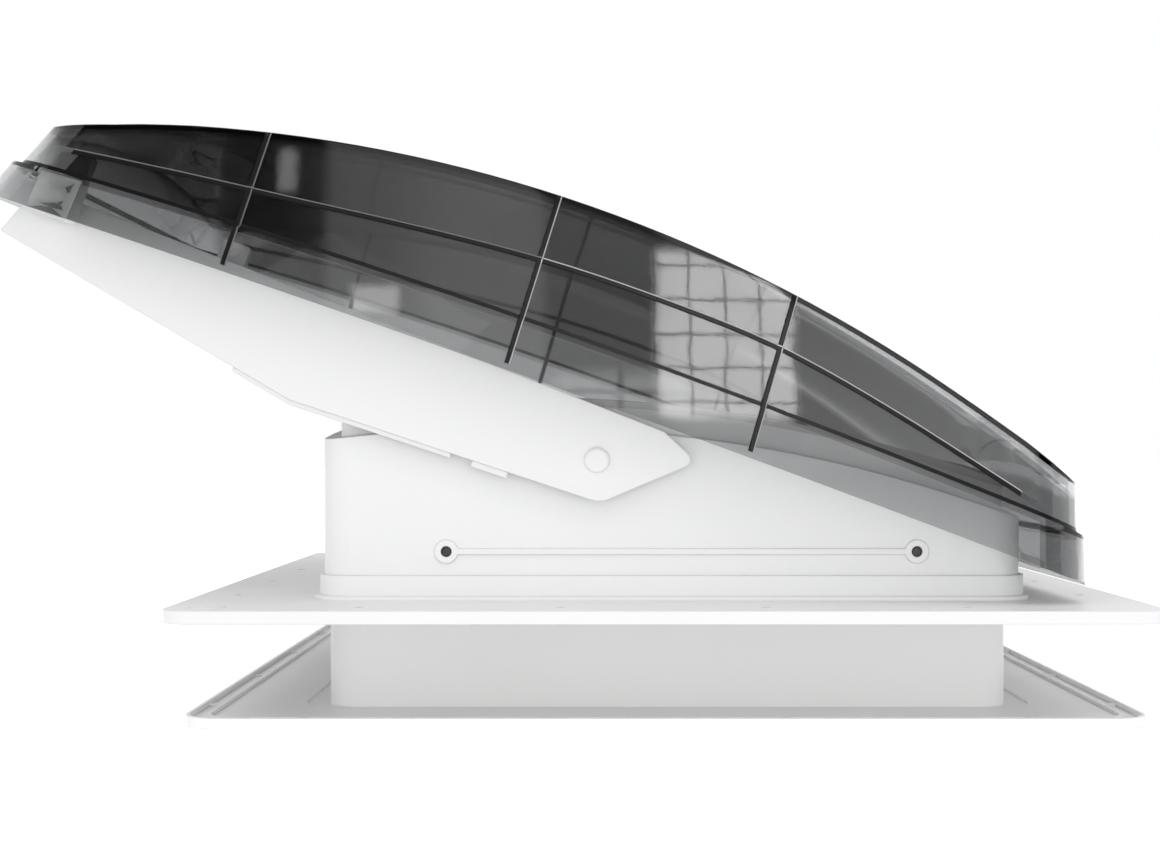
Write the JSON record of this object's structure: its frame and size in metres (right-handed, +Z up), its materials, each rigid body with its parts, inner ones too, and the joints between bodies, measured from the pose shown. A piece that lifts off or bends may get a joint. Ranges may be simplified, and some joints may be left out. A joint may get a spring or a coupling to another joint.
{
  "type": "caravan roof vent",
  "caption": "Powered caravan roof vent with a raised smoked lid, side rain wings, an axial fan in a square housing, a roof flange and a ceiling garnish.",
  "frame": {"origin": "centre of the roof flange's screw pattern, on the roof's outer face", "axes": "+Z up out of the roof, +X along the lid towards its hinge end, -Y towards the near side"},
  "size_m": [0.5825, 0.484, 0.3079],
  "materials": {
    "lid_smoke": "clear smoked, polished",
    "white_plastic": "satin moulded",
    "garnish_plastic": "satin moulded",
    "inner_plastic": "fine texture",
    "seal_rubber": "matte",
    "tape_rubber": "matte",
    "steel": "zinc plated",
    "motor_black": "semi matte",
    "gear_nylon": "natural nylon",
    "blade_black": "moulded",
    "dark_plastic": "fine texture",
    "screen_mesh": "woven insect mesh",
    "board_green": "lacquered",
    "button_grey": "soft touch",
    "lens_red": "clear dark red"
  },
  "bodies": {
    "root": {"fan_housing": "white_plastic", "coaming_seal": "seal_rubber", "body_gasket": "seal_rubber", "roof_flange": "white_plastic", "roof_seal": "tape_rubber", "ceiling_garnish": "garnish_plastic", "garnish_screws": "steel", "fan_duct": "white_plastic", "duct_screws": "steel", "motor_bracket": "steel", "bracket_screws": "steel", "motor_can": "motor_black", "motor_end_cap": "dark_plastic", "lift_gearcase": "dark_plastic", "lift_motor": "steel", "near_shaft_bush": "gear_nylon", "far_shaft_bush": "gear_nylon", "near_hinge_bracket": "white_plastic", "far_hinge_bracket": "white_plastic", "near_hinge_pin": "steel", "far_hinge_pin": "steel", "ceiling_frame": "inner_plastic", "screen_frame": "inner_plastic", "screen_mesh": "screen_mesh", "control_panel": "dark_plastic", "control_board": "board_green", "receiver_lens": "lens_red"},
    "lid": {"lid_shell": "lid_smoke", "near_guide_block": "white_plastic", "far_guide_block": "white_plastic", "near_hinge_strap": "white_plastic", "far_hinge_strap": "white_plastic"},
    "rain_shield": {"near_wing": "white_plastic", "far_wing": "white_plastic", "cross_bar": "white_plastic", "lift_shaft": "steel", "sector_gear": "gear_nylon", "near_pivot_cap": "white_plastic", "far_pivot_cap": "white_plastic", "near_guide_pin": "steel", "far_guide_pin": "steel"},
    "fan": {"fan_rotor": "blade_black", "motor_shaft": "steel", "rotor_nut": "steel"},
    "pinion": {"lift_pinion": "gear_nylon"},
    "panel_button_1": {"panel_button_1": "button_grey"},
    "panel_button_2": {"panel_button_2": "button_grey"},
    "panel_button_3": {"panel_button_3": "button_grey"},
    "panel_button_4": {"panel_button_4": "button_grey"},
    "panel_button_5": {"panel_button_5": "button_grey"},
    "screen_latch_1": {"screen_latch_1": "inner_plastic"},
    "screen_latch_2": {"screen_latch_2": "inner_plastic"},
    "screen_latch_3": {"screen_latch_3": "inner_plastic"},
    "screen_latch_4": {"screen_latch_4": "inner_plastic"}
  },
  "joints": [
    {"name": "lid_hinge", "type": "hinge", "parent": "root", "child": "lid", "pos_m": [0.192, 0, 0.027], "axis": [0, -1, 0], "range_deg": [0, 19.6]},
    {"name": "shield_turn", "type": "hinge", "parent": "root", "child": "rain_shield", "pos_m": [-0.0325, 0, 0.0779], "axis": [0, -1, 0], "range_deg": [0, 30.42]},
    {"name": "pinion_turn", "type": "hinge", "parent": "root", "child": "pinion", "pos_m": [0.02328, 0, 0.06295], "axis": [0, -1, 0], "range_deg": [-107.39, 0]},
    {"name": "fan_spin", "type": "hinge", "parent": "root", "child": "fan", "pos_m": [0.006, 0, 0.03], "axis": [0, 0, 1], "continuous": true},
    {"name": "panel_button_1_push", "type": "slide", "parent": "root", "child": "panel_button_1", "axis": [0, 0, 1], "range_m": [0, 0.001], "stiffness_N_per_m": 400, "springref_m": -0.0008},
    {"name": "panel_button_2_push", "type": "slide", "parent": "root", "child": "panel_button_2", "axis": [0, 0, 1], "range_m": [0, 0.001], "stiffness_N_per_m": 400, "springref_m": -0.0008},
    {"name": "panel_button_3_push", "type": "slide", "parent": "root", "child": "panel_button_3", "axis": [0, 0, 1], "range_m": [0, 0.001], "stiffness_N_per_m": 400, "springref_m": -0.0008},
    {"name": "panel_button_4_push", "type": "slide", "parent": "root", "child": "panel_button_4", "axis": [0, 0, 1], "range_m": [0, 0.001], "stiffness_N_per_m": 400, "springref_m": -0.0008},
    {"name": "panel_button_5_push", "type": "slide", "parent": "root", "child": "panel_button_5", "axis": [0, 0, 1], "range_m": [0, 0.001], "stiffness_N_per_m": 400, "springref_m": -0.0008},
    {"name": "screen_latch_1_turn", "type": "hinge", "parent": "root", "child": "screen_latch_1", "pos_m": [-0.09, -0.15, -0.046], "axis": [0, 0, 1], "range_deg": [0, 90]},
    {"name": "screen_latch_2_turn", "type": "hinge", "parent": "root", "child": "screen_latch_2", "pos_m": [-0.09, 0.15, -0.046], "axis": [0, 0, 1], "range_deg": [0, 90]},
    {"name": "screen_latch_3_turn", "type": "hinge", "parent": "root", "child": "screen_latch_3", "pos_m": [0.054, -0.15, -0.046], "axis": [0, 0, 1], "range_deg": [0, 90]},
    {"name": "screen_latch_4_turn", "type": "hinge", "parent": "root", "child": "screen_latch_4", "pos_m": [0.054, 0.15, -0.046], "axis": [0, 0, 1], "range_deg": [0, 90]}
  ],
  "couplings": [
    {"joint": "shield_turn", "follows": "lid_hinge", "ratio": 1.551},
    {"joint": "pinion_turn", "follows": "lid_hinge", "ratio": -5.4742}
  ]
}
